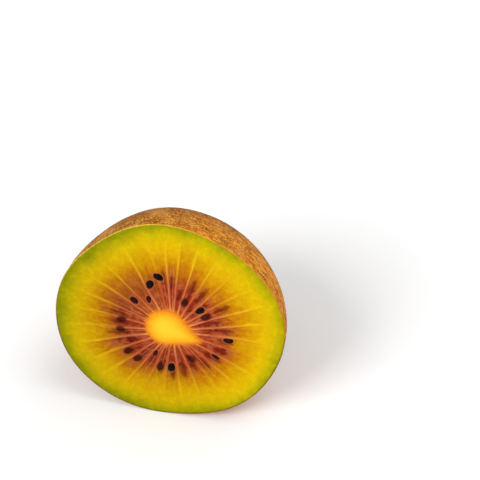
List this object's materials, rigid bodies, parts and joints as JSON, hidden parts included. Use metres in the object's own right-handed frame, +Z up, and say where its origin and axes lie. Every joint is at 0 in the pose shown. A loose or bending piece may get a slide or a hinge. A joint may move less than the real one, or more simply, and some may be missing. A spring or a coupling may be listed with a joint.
{
  "type": "halved golden kiwi fruit",
  "caption": "Half of a golden kiwi fruit with a red heart, cut across, showing its core, rays and seeds, lying on its flank.",
  "frame": {"origin": "on the resting surface, under the middle of the fruit's box", "axes": "+Z up; the cut face looks towards -Y and leans back by 17 degrees; +X to the right as seen facing the cut"},
  "size_m": [0.05, 0.034, 0.0468],
  "materials": {
    "flesh": "wet, juicy cut flesh of a ripe fruit, yellow with a red heart",
    "skin": "dry, thin brown skin, finely speckled with gold",
    "seed": "smooth, wet black seed"
  },
  "bodies": {
    "root": {"kiwi_half": "flesh"}
  },
  "joints": []
}
